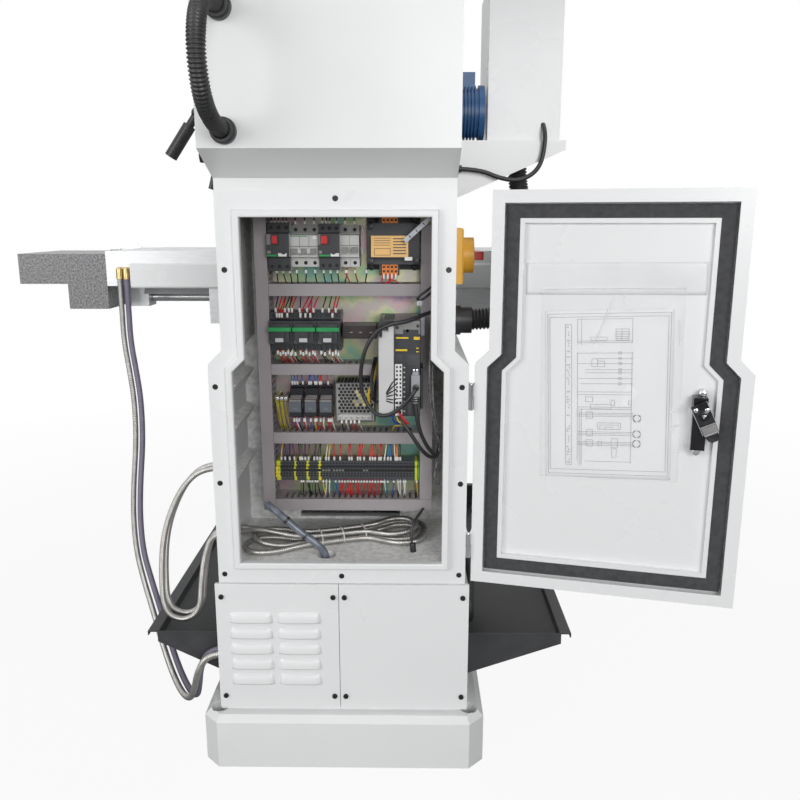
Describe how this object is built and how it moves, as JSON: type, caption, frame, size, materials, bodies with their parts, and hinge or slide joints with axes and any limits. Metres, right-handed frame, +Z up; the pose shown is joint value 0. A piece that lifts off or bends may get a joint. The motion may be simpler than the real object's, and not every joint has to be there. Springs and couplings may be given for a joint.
{
  "type": "universal milling machine",
  "caption": "Knee-type milling machine with vertical head and horizontal spindle, its rear electrical cabinet standing open; knee, saddle, table, ram and quill all slide.",
  "frame": {"origin": "on the floor under the middle of the column, between the column's way and the rear cabinet", "axes": "+Z up; +Y towards the rear, where the cabinet opens; -Y is the operator's side; +X is the operator's right"},
  "size_m": [1.576, 1.4657, 1.85],
  "materials": {
    "white_paint": "semi-gloss enamel on castings and sheet",
    "dark_tray_paint": "dark grey textured paint",
    "grey_cover_paint": "dark grey hammered paint",
    "ground_iron": "ground and scraped iron",
    "bright_steel": "turned or ground steel",
    "zinc_steel": "zinc plated sheet with a faint yellow passivation",
    "black_steel": "blackened steel",
    "chrome_parts": "polished chrome",
    "duct_plastic": "grey-brown rigid plastic",
    "black_plastic": "black moulded plastic",
    "device_grey": "light grey device plastic",
    "relay_smoke": "smoky clear plastic",
    "terminal_yellow": "grey and yellow-green terminal plastic",
    "coil_yellow": "yellow wrapped coil",
    "switch_yellow": "yellow-orange switch plastic",
    "switch_red": "red knob plastic",
    "motor_blue": "blue motor enamel",
    "grip_black": "black grip plastic",
    "foam": "dark open foam seal",
    "clear_film": "clear film with white paper",
    "brass_parts": "plain brass",
    "metal_conduit": "interlocked metal conduit",
    "violet_hose": "violet-grey plastic hose",
    "black_hose": "black corrugated hose"
  },
  "bodies": {
    "column": {"base_plinth": "white_paint", "chip_tray": "dark_tray_paint", "column_casting": "white_paint", "rear_frame": "white_paint", "panel_screws": "black_steel", "louvre_cover": "white_paint", "plain_cover": "white_paint", "mounting_plate": "zinc_steel", "wire_ducts": "duct_plastic", "circuit_breakers": "device_grey", "contactors": "black_plastic", "relays": "relay_smoke", "power_supply": "zinc_steel", "transformer": "coil_yellow", "servo_drive": "black_plastic", "terminal_strip": "terminal_yellow", "frame_hinges": "chrome_parts", "main_switch": "switch_yellow", "headstock_housing": "white_paint", "feed_motor": "motor_blue", "control_bracket": "white_paint", "control_box": "white_paint", "cable_glands": "black_plastic", "side_conduit_1": "metal_conduit", "side_conduit_2": "metal_conduit", "control_hose": "black_hose", "side_hose": "black_hose", "rear_conduit": "black_hose", "panel_cable": "black_hose", "conduit_hank": "metal_conduit"},
    "door": {"cabinet_door": "white_paint", "door_gasket": "foam", "document_pocket": "clear_film", "door_hinges": "chrome_parts", "latch_housing": "chrome_parts"},
    "latch_cam": {"latch_cam": "chrome_parts"},
    "switch_knob": {"switch_knob": "switch_red"},
    "clamp_lever": {"clamp_lever": "grip_black"},
    "ram": {"ram": "white_paint"},
    "ram_lever": {"ram_lever": "grip_black"},
    "head": {"vertical_head": "white_paint", "head_motor": "motor_blue"},
    "quill": {"quill": "bright_steel"},
    "vertical_spindle": {"vertical_spindle": "bright_steel"},
    "quill_lever": {"quill_lever": "bright_steel"},
    "horizontal_spindle": {"horizontal_spindle": "bright_steel"},
    "knee": {"knee": "white_paint"},
    "lift_screw": {"lift_screw": "bright_steel"},
    "z_crank": {"z_crank": "chrome_parts"},
    "saddle": {"saddle": "ground_iron"},
    "y_handwheel": {"y_handwheel": "chrome_parts"},
    "table": {"table": "ground_iron", "scale_cover": "white_paint", "end_box": "grey_cover_paint", "table_elbows": "brass_parts", "table_hose": "violet_hose", "table_conduit": "metal_conduit"},
    "x_lead_screw": {"x_lead_screw": "bright_steel"},
    "x_handwheel": {"x_handwheel": "chrome_parts"},
    "emergency_button": {"emergency_button": "switch_red"}
  },
  "joints": [
    {"name": "door_swing", "type": "hinge", "parent": "column", "child": "door", "pos_m": [-0.243, 0.296, 0], "axis": [0, 0, 1], "range_deg": [-166.7, 5]},
    {"name": "latch_turn", "type": "hinge", "parent": "door", "child": "latch_cam", "pos_m": [-0.63324, 0.38825, 0.745], "axis": [-0.23, -0.9732, 0], "range_deg": [-72, 20]},
    {"name": "main_switch_turn", "type": "hinge", "parent": "column", "child": "switch_knob", "pos_m": [-0.235, 0.15, 1.003], "axis": [1, 0, 0], "range_deg": [0, 90]},
    {"name": "emergency_push", "type": "slide", "parent": "column", "child": "emergency_button", "axis": [0, 1, 0], "range_m": [0, 0.006], "stiffness_N_per_m": 1500},
    {"name": "clamp_turn", "type": "hinge", "parent": "column", "child": "clamp_lever", "pos_m": [0.225, 0.2, 1.185], "axis": [1, 0, 0], "range_deg": [-60, 60]},
    {"name": "ram_slide", "type": "slide", "parent": "column", "child": "ram", "axis": [0, -1, 0], "range_m": [-0.15, 0.15]},
    {"name": "ram_lever_turn", "type": "hinge", "parent": "column", "child": "ram_lever", "pos_m": [0.225, -0.1, 1.38], "axis": [1, 0, 0], "range_deg": [-287, 287]},
    {"name": "head_swivel", "type": "hinge", "parent": "ram", "child": "head", "pos_m": [0, -0.45, 1.52], "axis": [0, -1, 0], "range_deg": [-45, 45]},
    {"name": "quill_feed", "type": "slide", "parent": "head", "child": "quill", "axis": [0, 0, 1], "range_m": [-0.08, 0]},
    {"name": "quill_lever_turn", "type": "hinge", "parent": "head", "child": "quill_lever", "pos_m": [0.12, -0.545, 1.42], "axis": [1, 0, 0], "range_deg": [-209, 1]},
    {"name": "vertical_spindle_spin", "type": "hinge", "parent": "quill", "child": "vertical_spindle", "pos_m": [0, -0.545, 1.3], "axis": [0, 0, 1], "continuous": true},
    {"name": "horizontal_spindle_spin", "type": "hinge", "parent": "column", "child": "horizontal_spindle", "pos_m": [0, -0.2, 1.27], "axis": [0, -1, 0], "continuous": true},
    {"name": "knee_lift", "type": "slide", "parent": "column", "child": "knee", "axis": [0, 0, 1], "range_m": [-0.2, 0.12]},
    {"name": "lift_screw_spin", "type": "hinge", "parent": "knee", "child": "lift_screw", "pos_m": [0, -0.44, 0.6], "axis": [0, 0, 1], "continuous": true},
    {"name": "z_crank_turn", "type": "hinge", "parent": "knee", "child": "z_crank", "pos_m": [0.06, -0.7, 0.64], "axis": [0, -1, 0], "continuous": true},
    {"name": "saddle_slide", "type": "slide", "parent": "knee", "child": "saddle", "axis": [0, 1, 0], "range_m": [-0.18, 0.05]},
    {"name": "y_handwheel_turn", "type": "hinge", "parent": "knee", "child": "y_handwheel", "pos_m": [-0.08, -0.74, 0.725], "axis": [0, -1, 0], "continuous": true},
    {"name": "table_slide", "type": "slide", "parent": "saddle", "child": "table", "axis": [1, 0, 0], "range_m": [-0.18, 0.31], "deforming": ["table_hose", "table_conduit"]},
    {"name": "x_handwheel_turn", "type": "hinge", "parent": "table", "child": "x_handwheel", "pos_m": [0.7, -0.65, 0.941], "axis": [0, -1, 0], "continuous": true},
    {"name": "x_lead_screw_spin", "type": "hinge", "parent": "table", "child": "x_lead_screw", "pos_m": [0, -0.45, 0.868], "axis": [1, 0, 0], "continuous": true}
  ],
  "couplings": [
    {"joint": "ram_lever_turn", "follows": "ram_slide", "rad_per_m": 33.333},
    {"joint": "quill_lever_turn", "follows": "quill_feed", "rad_per_m": 45.455},
    {"joint": "lift_screw_spin", "follows": "z_crank_turn", "ratio": -0.5},
    {"joint": "x_lead_screw_spin", "follows": "x_handwheel_turn", "ratio": 1}
  ]
}
